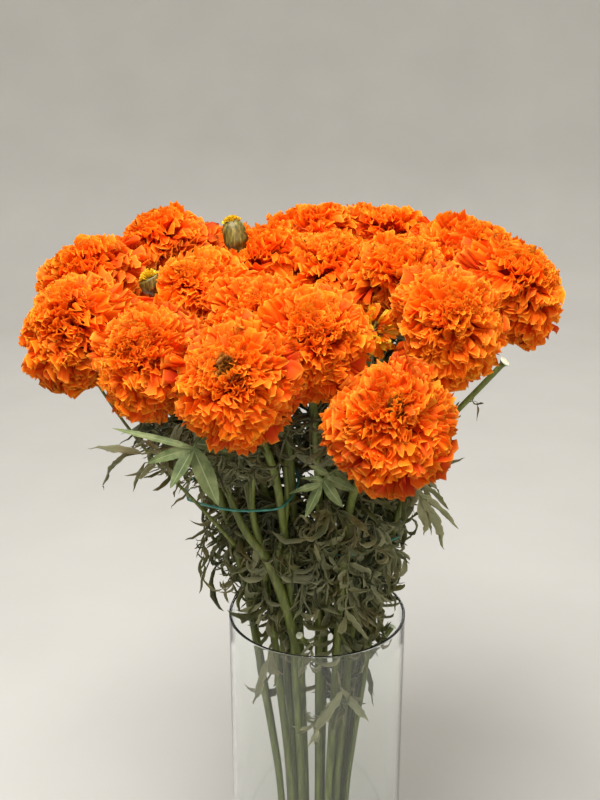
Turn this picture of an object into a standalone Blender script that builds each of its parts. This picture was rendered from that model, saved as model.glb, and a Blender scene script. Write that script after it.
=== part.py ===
"""Orange African marigolds, tied in two bunches and standing in a clear glass cylinder vase.

The origin is at the middle of the vase's flat underside, +Z points up and the front of the bouquet
looks along -Y. Every flower has a stem that starts on the vase's floor, leans out over the rim and
ends in a calyx cup under its head of petals. Lengths in the tables are in millimetres.
"""
import math

import bmesh
import bpy
from mathutils import Matrix, Vector

MM = 0.001
GAP = 0.3 * MM                      # running gap between pieces that touch

VASE_RADIUS = 60 * MM
VASE_HEIGHT = 250 * MM
VASE_WALL = 3 * MM
VASE_FLOOR = 12 * MM
VASE_SIDES = 48

STEM_RADIUS = 2.4 * MM
CALYX_RADIUS = 8 * MM
CALYX_LENGTH = 17 * MM
NECK_LENGTH = 26 * MM               # from the calyx top to where the stem has its plain width
STEM_SWING = 60 * MM                # how far a stem keeps the bunch's direction, above the ties
NECK_SWING = 48 * MM                # how far below its neck a stem already points at its head

# Height and half width in mm of the whole bundle of stems, from the vase's floor to the ties.
BUNDLE = [(12, 24), (100, 27), (150, 33), (205, 42), (250, 49), (290, 57), (330, 68)]
BUNDLE_DEPTH = 0.74                 # depth of the bundle against its width
BUNDLE_REACH = 150 * MM             # head distance from the axis that stands for the bundle's edge
BUNDLE_SPACING = 0.25               # least distance between two stems, in bundle half widths
BUNCH_SPLIT = -0.10                 # stems left of this share of the half width are the left bunch
BUNCH_SHIFT = 2.0 * MM              # each bunch keeps this far from the split

TIE_THICKNESS = 1.8 * MM
TIE_CLEARANCE = 0.45 * MM
TIE_STEM_LEAN = 1.25                # a level cut through a leaning stem is wider than the stem
TIE_POINTS = 36
LEFT_TIE_HEIGHT = 348 * MM
RIGHT_TIE_HEIGHT = 315 * MM

HEAD_SIDES = 16

# Outline of a petal head as shares of its radius, from the crown down to the seat on the calyx.
HEAD_PROFILE = [(0.34, 0.70), (0.64, 0.56), (0.87, 0.30), (1.0, -0.02), (0.93, -0.27), (0.66, -0.43),
                (0.24, -0.50)]
HEAD_CROWN = 0.74
HEAD_SEAT = 0.50

# Calyx cup from its foot up, as shares of its length and its radius.
CALYX_PROFILE = [(0.35, 0.48), (0.62, 0.8), (0.85, 1.0), (1.0, 0.95)]

# Bud from its foot to its tip, as shares of its length and its radius.
BUD_PROFILE = [(0.12, 0.6), (0.35, 1.0), (0.65, 0.95), (0.88, 0.65), (1.0, 0.3)]

# Place, centre of the petal mass x, y, z in mm, diameter in mm, lean from the vertical in degrees,
# and the direction of the lean in degrees, where 0 is +X and -90 the front.
HEADS = [
    ("front_right", 35, -150, 442, 74, 48, -85),
    ("front_left", -45, -140, 460, 70, 50, -98),
    ("lower_left", -92, -104, 460, 64, 55, -125),
    ("far_left", -140, -55, 463, 72, 50, -152),
    ("upper_left", -143, 10, 474, 72, 42, 175),
    ("top_left", -103, 60, 482, 74, 35, 145),
    ("middle_left", -73, -30, 474, 70, 28, -125),
    ("centre_left", -33, -65, 468, 66, 30, -110),
    ("centre_front", -3, -110, 473, 64, 45, -88),
    ("inner_left", -38, 18, 482, 70, 12, 170),
    ("top_middle", -3, 64, 486, 72, 20, 95),
    ("top_right", 48, 82, 482, 74, 26, 62),
    ("centre", 10, -6, 480, 68, 8, -90),
    ("right_front", 68, -95, 478, 68, 58, -80),
    ("centre_right", 48, -42, 487, 68, 20, -50),
    ("upper_right", 96, 38, 481, 74, 34, 25),
    ("far_right", 117, -18, 478, 70, 48, -18),
    ("left_hollow", -58, 70, 464, 60, 15, 120),
    ("right_hollow", 60, 12, 474, 60, 12, 10),
    ("rear_left", -62, 120, 458, 72, 45, 118),
    ("rear_middle", 2, 132, 460, 72, 46, 92),
    ("rear_right", 62, 144, 452, 68, 50, 68),
    ("rear_far_right", 110, 97, 462, 70, 48, 40),
]

# A stem whose head has dropped: top x, y, z in mm, lean and its direction in degrees.
BARE_STEM_TOP = (108, -52, 444)
BARE_STEM_LEAN = (38, -25)

# Buds: name, stem that carries it, height where it leaves that stem, tip x, y, z, bud radius and
# length, all in mm.
BUDS = [
    ("closed_bud", "inner_left", 405, -56, 34, 513, 7, 25),
    ("half_open_bud", "middle_left", 400, -106, -12, 494, 7, 18),
    ("spent_flower", "centre_right", 405, 30, -78, 494, 8, 20),
]
BUD_STALK_RADIUS = 1.3 * MM

# Leaves: name, stem that carries it, height where it leaves the stem, compass direction in degrees
# where it leaves, then the midrib's bend and tip x, y, z, leaflet length and width, all in mm,
# number of leaflet pairs, and how far the leaflets hang down (0 flat, 1 straight down).
LEAVES = [
    ("fresh_leaf_left", "front_left", 410, -125, (-62, -116, 432), (-70, -134, 420), 34, 9, 2, 0.7),
    ("fresh_leaf_right", "front_right", 385, -125, (6, -112, 404), (-4, -130, 396), 26, 8, 2, 0.5),
    ("wilted_leaf_far_left", "lower_left", 385, -150, (-100, -80, 404), (-124, -82, 396), 24, 6, 3, 0.6),
    ("wilted_leaf_right", "right_front", 385, -50, (68, -92, 392), (80, -84, 352), 28, 6, 3, 0.6),
    ("hanging_leaf_left", "far_left", 330, 170, (-82, -10, 325), (-84, -6, 280), 20, 6, 3, 0.5),
    ("hanging_leaf_front", "front_right", 325, -75, (18, -68, 322), (16, -76, 284), 20, 6, 3, 0.4),
    ("rear_leaf", "rear_right", 350, 75, (36, 88, 350), (44, 104, 312), 24, 7, 3, 0.5),
]
MIDRIB_WIDTH = 1.6 * MM
BLADE_THICKNESS = 0.7 * MM
LEAFLET_WAIST = 0.45                # share of a leaflet's length where it is widest


def clear_scene():
    for item in list(bpy.data.objects):
        bpy.data.objects.remove(item, do_unlink=True)


def material(name, colour, roughness, transmission=0.0, alpha=1.0):
    made = bpy.data.materials.new(name)
    made.use_nodes = True
    shader = made.node_tree.nodes["Principled BSDF"]
    shader.inputs["Base Color"].default_value = (*colour, 1)
    shader.inputs["Roughness"].default_value = roughness
    shader.inputs["Metallic"].default_value = 0
    shader.inputs["Transmission Weight"].default_value = transmission
    shader.inputs["Alpha"].default_value = alpha
    return made


def add_mesh(name, bm, finish):
    """Turn a finished bmesh into a smooth-shaded object of its own."""
    bmesh.ops.recalc_face_normals(bm, faces=bm.faces)
    mesh = bpy.data.meshes.new(name)
    bm.to_mesh(mesh)
    bm.free()
    mesh.shade_smooth()
    mesh.set_sharp_from_angle(angle=math.radians(40))
    mesh.materials.append(finish)
    made = bpy.data.objects.new(name, mesh)
    bpy.context.collection.objects.link(made)
    return made


def turn(profile, sides):
    """Spin a profile of (radius, height) points, closed on the axis at both ends, about Z."""
    bm = bmesh.new()
    verts = [bm.verts.new((radius, 0, height)) for radius, height in profile]
    edges = [bm.edges.new(pair) for pair in zip(verts, verts[1:])]
    bmesh.ops.spin(bm, geom=verts + edges, axis=(0, 0, 1), cent=(0, 0, 0), steps=sides,
                   angle=math.tau, use_merge=True)
    bmesh.ops.remove_doubles(bm, verts=bm.verts, dist=0.01 * MM)
    return bm


def add_tube(name, points, radii, sides_level, finish, closed=False):
    """A round tube along points, with its own radius at each point and flat caps."""
    curve = bpy.data.curves.new(name, "CURVE")
    curve.dimensions = "3D"
    curve.bevel_depth = 1.0
    curve.bevel_resolution = sides_level
    curve.use_fill_caps = not closed
    spline = curve.splines.new("POLY")
    spline.points.add(len(points) - 1)
    for slot, point, radius in zip(spline.points, points, radii):
        slot.co = (*point, 1)
        slot.radius = radius
    spline.use_cyclic_u = closed
    spline.use_smooth = True
    curve.materials.append(finish)
    made = bpy.data.objects.new(name, curve)
    bpy.context.collection.objects.link(made)
    return made


def direction(lean, compass):
    """Unit vector that leans from the vertical towards a compass direction, both in degrees."""
    lean, compass = math.radians(lean), math.radians(compass)
    return Vector((math.sin(lean) * math.cos(compass), math.sin(lean) * math.sin(compass), math.cos(lean)))


def mm(values):
    return Vector(values) * MM


# ---------------------------------------------------------------- the routes of the stems

def half_width(height):
    """Half width of the bundle of stems at a height, read from the BUNDLE table."""
    for (low, low_width), (high, high_width) in zip(BUNDLE, BUNDLE[1:]):
        share = (height / MM - low) / (high - low)
        if share <= 1:
            break
    return (low_width + share * (high_width - low_width)) * MM


def bundle_point(spot, height):
    """Place of a stem at a height, its spot given in half widths of the bundle."""
    side = -1 if spot.x < BUNCH_SPLIT else 1
    wide = half_width(height)
    return Vector((spot.x * wide + side * BUNCH_SHIFT, spot.y * wide, height))


def spread(places):
    """Push places in the bundle apart until no two are nearer than the spacing."""
    for _ in range(200):
        for i, one in enumerate(places):
            for other in places[:i]:
                apart = one - other
                short = BUNDLE_SPACING - apart.length
                if short > 0:
                    step = apart.normalized() * short / 2
                    one += step
                    other -= step
    return places


def stem_tops():
    """Calyx top and upward direction of every stem, by place."""
    tops = {}
    for place, x, y, z, diameter, lean, compass in HEADS:
        up = direction(lean, compass)
        tops[place] = (mm((x, y, z)) - up * (HEAD_SEAT * diameter / 2 * MM + GAP), up)
    tops["bare"] = (mm(BARE_STEM_TOP), direction(*BARE_STEM_LEAN))
    return tops


def stem_routes():
    """Centre line of every stem as a list of points, from the vase's floor to the neck's foot."""
    tops = stem_tops()
    places = [Vector((top.x, top.y * BUNDLE_DEPTH)) / BUNDLE_REACH for top, _ in tops.values()]
    routes = {}
    for (place, (top, up)), spot in zip(tops.items(), spread(places)):
        heights = [VASE_FLOOR + GAP] + [height * MM for height, _ in BUNDLE[1:]]
        route = [bundle_point(spot, height) for height in heights]
        foot, neck = route[-1], top - up * NECK_LENGTH
        rise = (route[-1] - route[-2]).normalized()
        limit = (neck - foot).length / 2
        leave, arrive = min(STEM_SWING, limit), min(NECK_SWING, limit)
        for step in range(1, 6):
            t = step / 5
            control = ((foot, (1 - t) ** 3), (foot + rise * leave, 3 * t * (1 - t) ** 2),
                       (neck - up * arrive, 3 * t * t * (1 - t)), (neck, t ** 3))
            route.append(sum((point * weight for point, weight in control), Vector()))
        routes[place] = route
    return routes


def at_height(route, height):
    """Point of a route at a height, and the route's direction there."""
    for low, high in zip(route, route[1:]):
        if low.z <= height <= high.z:
            return low.lerp(high, (height - low.z) / (high.z - low.z)), (high - low).normalized()


def beside(route, height, towards, distance):
    """Point at a distance from a stem's centre line, square to the stem on the side of towards."""
    point, along = at_height(route, height)
    aside = (towards - along * towards.dot(along)).normalized()
    return point + aside * distance


# ---------------------------------------------------------------- the pieces

def make_vase(finish):
    """Straight glass cylinder with a thick flat floor and a rounded rim."""
    inner = VASE_RADIUS - VASE_WALL
    rim = VASE_WALL / 2
    edge = 1.5 * MM
    profile = [(0, 0), (VASE_RADIUS - edge, 0), (VASE_RADIUS, edge), (VASE_RADIUS, VASE_HEIGHT - rim)]
    for step in range(1, 4):
        angle = math.pi * step / 4
        profile.append((VASE_RADIUS - rim + rim * math.cos(angle), VASE_HEIGHT - rim + rim * math.sin(angle)))
    profile += [(inner, VASE_HEIGHT - rim), (inner, VASE_FLOOR + edge), (inner - edge, VASE_FLOOR), (0, VASE_FLOOR)]
    return add_mesh("vase", turn(profile, VASE_SIDES), finish)


def make_stem(place, route, top, up, finish):
    """Plain stalk that widens into the hollow neck and the calyx cup."""
    points = list(route)
    radii = [STEM_RADIUS] * len(points)
    for share, width in CALYX_PROFILE:
        points.append(top - up * CALYX_LENGTH * (1 - share))
        radii.append(CALYX_RADIUS * width)
    add_tube("stem_" + place, points, radii, 1, finish)


def make_bare_stem(route, top, up, finish):
    """Stem whose head has dropped; its neck ends in a small flared disc."""
    points = route + [top - up * 8 * MM, top - up * 3 * MM, top]
    radii = [STEM_RADIUS] * len(route) + [CALYX_RADIUS * 0.48, CALYX_RADIUS * 0.75, CALYX_RADIUS * 0.7]
    add_tube("bare_stem", points, radii, 1, finish)


def bud_lines(routes):
    """Foot, tip, radius and length of each bud, the foot lying beside its stem."""
    lines = []
    for name, place, height, x, y, z, radius, length in BUDS:
        tip = mm((x, y, z))
        stem, _ = at_height(routes[place], height * MM)
        foot = beside(routes[place], height * MM, tip - stem, STEM_RADIUS + BUD_STALK_RADIUS + GAP)
        lines.append((name, foot, tip, radius * MM, length * MM))
    return lines


def make_bud(name, foot, tip, radius, length, finish):
    """Thin stalk with an egg-shaped bud at its end."""
    along = (tip - foot).normalized()
    base = tip - along * length
    points = [foot, foot.lerp(base, 0.5), base]
    radii = [BUD_STALK_RADIUS, BUD_STALK_RADIUS, BUD_STALK_RADIUS * 1.3]
    for share, width in BUD_PROFILE:
        points.append(base.lerp(tip, share))
        radii.append(radius * width)
    add_tube(name, points, radii, 2, finish)


def make_head(row, buds, finish):
    """Closed dome of petals, pressed flat where it meets its neighbours and the buds."""
    place, x, y, z, diameter, lean, compass = row
    centre, radius, up = mm((x, y, z)), diameter / 2 * MM, direction(lean, compass)
    profile = [(0, HEAD_CROWN)] + HEAD_PROFILE + [(0, -HEAD_SEAT)]
    bm = turn([(radius * r, radius * h) for r, h in profile], HEAD_SIDES)
    bmesh.ops.transform(bm, matrix=Matrix.Translation(centre) @ up.to_track_quat("Z", "Y").to_matrix().to_4x4(),
                        verts=bm.verts)
    planes = []
    for other in HEADS:
        if other[0] == place:
            continue
        away = mm(other[1:4]) - centre
        reach = radius + other[4] / 2 * MM
        if away.length < reach:
            share = radius / reach
            planes.append((centre + away * share - away.normalized() * GAP / 2, away.normalized()))
    for _, foot, tip, bud_radius, _ in buds:
        along = (tip - foot).normalized()
        nearest = foot + along * min(max((centre - foot).dot(along), 0), (tip - foot).length)
        away = nearest - centre
        if away.length < radius + bud_radius:
            planes.append((nearest - away.normalized() * (bud_radius + GAP), away.normalized()))
    for point, normal in planes:
        bmesh.ops.bisect_plane(bm, geom=bm.verts[:] + bm.edges[:] + bm.faces[:], dist=0.001 * MM,
                               plane_co=point, plane_no=normal, clear_outer=True)
        bmesh.ops.holes_fill(bm, edges=[edge for edge in bm.edges if edge.is_boundary])
    bmesh.ops.dissolve_degenerate(bm, dist=0.05 * MM, edges=bm.edges)
    return add_mesh("head_" + place, bm, finish)


def tie_points(routes, side, height):
    """Outline of an elastic band stretched round the stems of one bunch at a height."""
    keep = STEM_RADIUS * TIE_STEM_LEAN + TIE_CLEARANCE + TIE_THICKNESS / 2
    stems = []
    for place, route in routes.items():
        spot, _ = at_height(route, height)
        if (spot.x < BUNCH_SPLIT * half_width(height)) == (side < 0):
            stems.append(Vector((spot.x, spot.y)))
    angles = [math.tau * step / TIE_POINTS for step in range(TIE_POINTS)]
    reach = [max(stem.dot((math.cos(a), math.sin(a))) for stem in stems) + keep for a in angles]
    points = []
    turned = math.tau / TIE_POINTS
    for i, angle in enumerate(angles):
        before, here = reach[i - 1], reach[i]
        across = (here * math.cos(turned) - before) / math.sin(turned)
        out = Vector((math.cos(angle), math.sin(angle)))
        corner = out * here + Vector((-out.y, out.x)) * across
        points.append(Vector((corner.x, corner.y, height)))
    return points


def make_tie(name, routes, side, height, finish):
    """Elastic tie, a closed loop round one bunch."""
    points = tie_points(routes, side, height)
    add_tube(name, points, [TIE_THICKNESS / 2] * len(points), 1, finish, closed=True)


def bezier(start, bend, end, t):
    return start * (1 - t) ** 2 + bend * 2 * t * (1 - t) + end * t * t


def make_leaf(row, routes, finish):
    """Feathered leaf: a thin midrib with pairs of pointed leaflets and one at its tip."""
    name, place, height, compass, bend, tip, length, width, pairs, hang = row
    out = direction(90, compass)
    start = beside(routes[place], height * MM, out, STEM_RADIUS + GAP)
    bend, tip, length, width = mm(bend), mm(tip), length * MM, width * MM
    bm = bmesh.new()
    rows = []
    stations = 2 * pairs + 1
    for step in range(stations + 1):
        t = step / stations
        spot = bezier(start, bend, tip, t)
        ahead = (bezier(start, bend, tip, t + 0.02) - bezier(start, bend, tip, t - 0.02)).normalized()
        side = ahead.cross(Vector((0, 0, 1)))
        side = (side if side.length > 0.3 else out.cross(Vector((0, 0, 1)))).normalized()
        rows.append((bm.verts.new(spot - side * MIDRIB_WIDTH / 2), bm.verts.new(spot + side * MIDRIB_WIDTH / 2),
                     side, ahead))
    for low, high in zip(rows, rows[1:]):
        bm.faces.new((low[0], low[1], high[1], high[0]))
    down = Vector((0, 0, -1))
    for pair in range(1, pairs + 1):
        low, high = rows[2 * pair - 1], rows[2 * pair]
        reach = length * (0.75 + 0.25 * pair / pairs)
        for index, sign in ((0, -1), (1, 1)):
            lead = (low[2] * sign * 0.8 + low[3] * 0.6).normalized()
            lead = lead.lerp(down, hang * 0.6).normalized()
            root = (low[index].co + high[index].co) / 2
            tilt = (high[index].co - low[index].co).normalized()
            near = bm.verts.new(root + lead * reach * LEAFLET_WAIST - tilt * width / 2)
            far = bm.verts.new(root + lead * reach * LEAFLET_WAIST + tilt * width / 2)
            end = bm.verts.new(root + lead.lerp(down, hang * 0.5).normalized() * reach)
            bm.faces.new((low[index], near, far, high[index]) if sign > 0 else (high[index], far, near, low[index]))
            bm.faces.new((near, end, far) if sign > 0 else (far, end, near))
    last = rows[-1]
    lead = last[3].lerp(down, hang * 0.5).normalized()
    middle = (last[0].co + last[1].co) / 2
    left = bm.verts.new(middle + lead * length * LEAFLET_WAIST - last[2] * width / 2)
    right = bm.verts.new(middle + lead * length * LEAFLET_WAIST + last[2] * width / 2)
    end = bm.verts.new(middle + lead * length)
    bm.faces.new((last[0], last[1], right, left))
    bm.faces.new((left, right, end))
    made = add_mesh(name, bm, finish)
    shell = made.modifiers.new("thickness", "SOLIDIFY")
    shell.thickness = BLADE_THICKNESS
    shell.offset = 0
    return made


def build():
    clear_scene()
    glass = material("clear glass", (0.85, 0.9, 0.9), 0.05, transmission=1.0, alpha=0.35)
    petals = material("orange petals", (0.95, 0.16, 0.01), 0.6)
    stalk = material("olive stem", (0.12, 0.17, 0.04), 0.55)
    bud_green = material("bud green", (0.16, 0.2, 0.05), 0.6)
    elastic = material("teal elastic", (0.05, 0.22, 0.17), 0.5)
    fresh = material("fresh leaf", (0.13, 0.24, 0.07), 0.55)
    wilted = material("wilted leaf", (0.12, 0.15, 0.08), 0.8)

    routes = stem_routes()
    tops = stem_tops()
    buds = bud_lines(routes)
    make_vase(glass)
    for place, (top, up) in tops.items():
        if place == "bare":
            make_bare_stem(routes[place], top, up, stalk)
        else:
            make_stem(place, routes[place], top, up, stalk)
    for row in HEADS:
        make_head(row, buds, petals)
    for bud in buds:
        make_bud(*bud, bud_green)
    make_tie("tie_left", routes, -1, LEFT_TIE_HEIGHT, elastic)
    make_tie("tie_right", routes, 1, RIGHT_TIE_HEIGHT, elastic)
    for row in LEAVES:
        make_leaf(row, routes, fresh if row[0].startswith("fresh") else wilted)


build()
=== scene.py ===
import random
from math import atan2, cos, exp, hypot, log, pi, radians, sin, tau

import bmesh
import bpy
from mathutils import Matrix, Vector, noise
from mathutils.bvhtree import BVHTree


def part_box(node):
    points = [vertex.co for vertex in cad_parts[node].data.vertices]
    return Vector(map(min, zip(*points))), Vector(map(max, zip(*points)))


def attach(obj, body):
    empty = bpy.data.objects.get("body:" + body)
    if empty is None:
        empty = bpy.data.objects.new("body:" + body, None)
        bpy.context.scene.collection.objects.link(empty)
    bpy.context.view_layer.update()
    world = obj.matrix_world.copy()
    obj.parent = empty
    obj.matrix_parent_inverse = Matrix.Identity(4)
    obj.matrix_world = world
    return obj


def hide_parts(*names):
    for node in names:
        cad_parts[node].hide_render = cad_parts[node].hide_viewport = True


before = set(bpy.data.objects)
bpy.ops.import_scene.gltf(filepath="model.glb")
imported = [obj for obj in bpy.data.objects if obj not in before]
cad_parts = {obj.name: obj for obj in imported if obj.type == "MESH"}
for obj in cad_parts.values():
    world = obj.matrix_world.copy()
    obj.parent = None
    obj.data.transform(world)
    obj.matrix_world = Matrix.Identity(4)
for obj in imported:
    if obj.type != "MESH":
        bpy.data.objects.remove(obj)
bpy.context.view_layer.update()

# ---------------------------------------------------------------- studio
# A matt pale table that sweeps up all round into a wall, one large soft box over the flowers and two
# weak ones, beside the camera and behind. The camera looks down on the bouquet a little, and the foot
# of the vase is below its view.

MM = 0.001
UP = Vector((0, 0, 1))

CAMERA_PLACE = (-0.0116, -0.694, 0.650)
CAMERA_DIP = 19.7                   # degrees below the level
CAMERA_LENS = 52.0

TABLE_RADIUS = 1.7
SWEEP_RADIUS = 1.0
WALL_HEIGHT = 1.6


def linear(colour):
    """An sRGB hex colour as linear red, green, blue and alpha."""
    parts = [int(colour[i:i + 2], 16) / 255 for i in (1, 3, 5)]
    return (*[c / 12.92 if c <= 0.04045 else ((c + 0.055) / 1.055) ** 2.4 for c in parts], 1.0)


def node(tree, kind, inputs=(), stops=(), **settings):
    """Adds a node; an input is a value, a hex colour, or the node or socket that feeds it."""
    made = tree.nodes.new("ShaderNode" + kind)
    for name, value in settings.items():
        setattr(made, name, value)
    for name, value in dict(inputs).items():
        if isinstance(value, bpy.types.Node):
            value = value.outputs[0]
        if isinstance(value, bpy.types.NodeSocket):
            tree.links.new(value, made.inputs[name])
        else:
            made.inputs[name].default_value = linear(value) if isinstance(value, str) else value
    for number, (place, colour) in enumerate(stops):
        ramp = made.color_ramp.elements
        stop = ramp[number] if number < 2 else ramp.new(place)
        stop.position, stop.color = place, linear(colour)
    return made


def new_material(name, mapped=False):
    """A new material, its nodes, and where a point is: on the object, or on the surface's own map."""
    made = bpy.data.materials.new(name)
    made.use_nodes = True
    tree = made.node_tree
    tree.nodes.clear()
    if mapped:
        return made, tree, node(tree, "UVMap", uv_map="UVMap")
    return made, tree, node(tree, "TexCoord").outputs["Object"]


def as_mesh(name, bm):
    """The mesh of a finished bmesh, which is freed."""
    mesh = bpy.data.meshes.new(name)
    bm.to_mesh(mesh)
    bm.free()
    return mesh


def add_piece(name, bm, *materials):
    """Turns a finished bmesh into a smooth-shaded object at the origin."""
    mesh = as_mesh(name, bm)
    mesh.shade_smooth()
    for material in materials:
        mesh.materials.append(material)
    made = bpy.data.objects.new(name, mesh)
    bpy.context.scene.collection.objects.link(made)
    return made


def skin(tree, colour, roughness, relief=None, gloss=0.5, glow=0.0):
    """Ends a material: relief is its node, strength and mm; glow the light let through from behind."""
    look = {"Base Color": colour, "Roughness": roughness, "Specular IOR Level": gloss}
    if relief:
        height, strength, depth = relief
        look["Normal"] = node(tree, "Bump", {"Height": height, "Strength": strength, "Distance": depth * MM})
    end = node(tree, "BsdfPrincipled", look)
    if glow:
        behind = node(tree, "BsdfTranslucent", {"Color": colour})
        end = node(tree, "MixShader", {0: glow, 1: end, 2: behind})
    node(tree, "OutputMaterial", {"Surface": end})


def rounding(x, z, radius, first, last, steps):
    """Points of an arc in a profile, between two angles in degrees from straight outward."""
    angles = [radians(first + (last - first) * step / steps) for step in range(steps + 1)]
    return [(x + radius * cos(angle), z + radius * sin(angle)) for angle in angles]


def spun(profile, steps):
    """Turns a line of (radius, height) points, which starts on the axis, about Z."""
    bm = bmesh.new()
    verts = [bm.verts.new((radius, 0, height)) for radius, height in profile]
    edges = [bm.edges.new(pair) for pair in zip(verts, verts[1:])]
    bmesh.ops.spin(bm, geom=verts + edges, axis=UP, cent=(0, 0, 0), steps=steps, angle=tau,
                   use_merge=True)
    bmesh.ops.remove_doubles(bm, verts=bm.verts, dist=0.01 * MM)
    bmesh.ops.recalc_face_normals(bm, faces=bm.faces)
    return bm


# Painted board: matt, with the faint cloudiness of a rolled coat.
board, tree, here = new_material("painted_board")
cloud = node(tree, "TexNoise", {"Vector": here, "Scale": 6.0, "Detail": 4.0})
tint = node(tree, "ValToRGB", {"Fac": cloud}, [(0.3, "#B3B1AC"), (0.7, "#B8B6B1")])
skin(tree, tint, 0.85)

sweep = [(0, 0)] + rounding(TABLE_RADIUS, SWEEP_RADIUS, SWEEP_RADIUS, -90, 0, 16)
bm = spun(sweep + [(TABLE_RADIUS + SWEEP_RADIUS, WALL_HEIGHT)], 64)
bmesh.ops.reverse_faces(bm, faces=bm.faces)
table = add_piece("table_and_backdrop", bm, board)


def soft_box(name, place, aim, size, power):
    """A square area light that faces a point."""
    lamp = bpy.data.lights.new(name, "AREA")
    lamp.size, lamp.energy = size, power
    made = bpy.data.objects.new(name, lamp)
    made.location = place
    made.rotation_euler = (Vector(aim) - Vector(place)).to_track_quat("-Z", "Y").to_euler()
    bpy.context.scene.collection.objects.link(made)


soft_box("soft_box_over", (-0.25, -0.45, 1.75), (0, 0, 0.42), 0.9, 38.0)
soft_box("soft_box_front", (0.5, -2.0, 1.0), (0, 0, 0.35), 1.2, 8.0)
soft_box("soft_box_back", (0.3, 1.9, 1.2), (0, 0, 0.4), 1.0, 6.0)

world = bpy.data.worlds.new("studio")
world.use_nodes = True
world.node_tree.nodes["Background"].inputs["Color"].default_value = linear("#F8F4EC")
world.node_tree.nodes["Background"].inputs["Strength"].default_value = 0.91
bpy.context.scene.world = world
bpy.context.scene.view_settings.view_transform = "Standard"

camera = bpy.data.cameras.new("camera")
camera.lens, camera.sensor_width = CAMERA_LENS, 36.0
camera_stand = bpy.data.objects.new("camera", camera)
camera_stand.location = CAMERA_PLACE
camera_stand.rotation_euler = (radians(90 - CAMERA_DIP), 0, 0)
bpy.context.scene.collection.objects.link(camera_stand)
bpy.context.scene.camera = camera_stand

# ---------------------------------------------------------------- vase
# A straight cylinder of clear drawn glass with a thick pressed floor and a rim melted round in the
# flame. It stands on its own.

GLASS_WALL = 2.4 * MM
GLASS_FLOOR = 12.0 * MM
RIM_WALL = 2.0 * MM                 # the wall draws thinner where the rim was melted
FOOT_EDGE = 2.0 * MM                # rounding of the foot, outside
FLOOR_EDGE = 4.0 * MM               # rounding where the wall meets the floor, inside
PUNT = 0.6 * MM                     # hollow under the foot

vase_radius, _, vase_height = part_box("vase")[1]
inner_radius = vase_radius - GLASS_WALL

profile = [(0, PUNT), (vase_radius * 0.6, PUNT), (vase_radius - 6 * MM, 0)]
profile += rounding(vase_radius - FOOT_EDGE, FOOT_EDGE, FOOT_EDGE, -90, 0, 4)
profile += [(vase_radius, z) for z in (3 * MM, 20 * MM, vase_height * 0.5, vase_height - 6 * MM,
                                       vase_height - 2 * MM)]
profile += rounding(vase_radius - RIM_WALL / 2, vase_height - RIM_WALL / 2, RIM_WALL / 2, 0, 180, 8)
profile += [(vase_radius - RIM_WALL, vase_height - z * MM) for z in (2, 3.5)]
profile += [(inner_radius, z) for z in (vase_height - 14 * MM, vase_height - 18 * MM, vase_height * 0.5,
                                        30 * MM, GLASS_FLOOR + FLOOR_EDGE + 1 * MM)]
profile += rounding(inner_radius - FLOOR_EDGE, GLASS_FLOOR + FLOOR_EDGE, FLOOR_EDGE, 0, -90, 4)
profile.append((0, GLASS_FLOOR))

# Soda-lime glass: clear, faintly green where it is thick, with drawn ripples too slight to see as
# more than a bend in the highlights.
glass, tree, here = new_material("soda_lime_glass")
stretch = node(tree, "Mapping", {"Vector": here, "Scale": (9.0, 9.0, 2.0)})
ripple = node(tree, "TexNoise", {"Vector": stretch, "Scale": 1.6, "Detail": 1.0})
bend = node(tree, "Bump", {"Height": ripple, "Strength": 0.05, "Distance": 0.01})
surface = node(tree, "BsdfPrincipled", {"Base Color": "#FDFFFE", "Roughness": 0.0, "IOR": 1.45,
                                        "Transmission Weight": 1.0, "Normal": bend})
clear = node(tree, "BsdfTransparent", {"Color": "#FBFEFC"})
ray = node(tree, "LightPath")
lets_lamps_in = node(tree, "MixShader", {0: ray.outputs["Is Shadow Ray"], 1: surface, 2: clear})
node(tree, "OutputMaterial", {"Surface": lets_lamps_in})

vase = add_piece("glass_vase", spun(profile, 96), glass)
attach(vase, "root")
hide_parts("vase")

# ---------------------------------------------------------------- stems
# Green marigold stalks, finely ribbed, that stand on the vase's floor and lean out over the rim. Each
# widens near its top into a hollow neck and the ribbed cup that holds the petals.

STEM_SIDES = 16
STEM_RIB = 0.07                     # depth of the ribs against the stalk's radius
STEM_STEPS = 4                      # rings between two points of the route
BARE_RADIUS = 1.7 * MM              # the stem that has lost its flower
BARE_FLARE = 3.2 * MM               # and its top


def merged(name):
    """A CAD node's mesh with its loose triangles joined."""
    bm = bmesh.new()
    bm.from_mesh(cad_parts[name].data)
    bmesh.ops.remove_doubles(bm, verts=bm.verts, dist=0.02 * MM)
    return bm


def in_order(parts):
    """Vertices or edges in a fixed order, so that every run adds them up and builds on them alike."""
    return sorted(parts, key=lambda part: part.index)


def ring_line(name, sides):
    """Centre and radius of each ring of a CAD stalk, from its foot up."""
    bm = merged(name)
    bm.verts.index_update()
    ring = in_order(sorted(bm.verts, key=lambda v: v.co.z)[:sides])
    done, line = set(), []
    while ring:
        centre = sum((v.co for v in ring), Vector()) / len(ring)
        line.append((centre, sum((v.co - centre).length for v in ring) / len(ring)))
        done.update(ring)
        ring = in_order({edge.other_vert(v) for v in ring for edge in v.link_edges} - done)
    bm.free()
    return line


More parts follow.
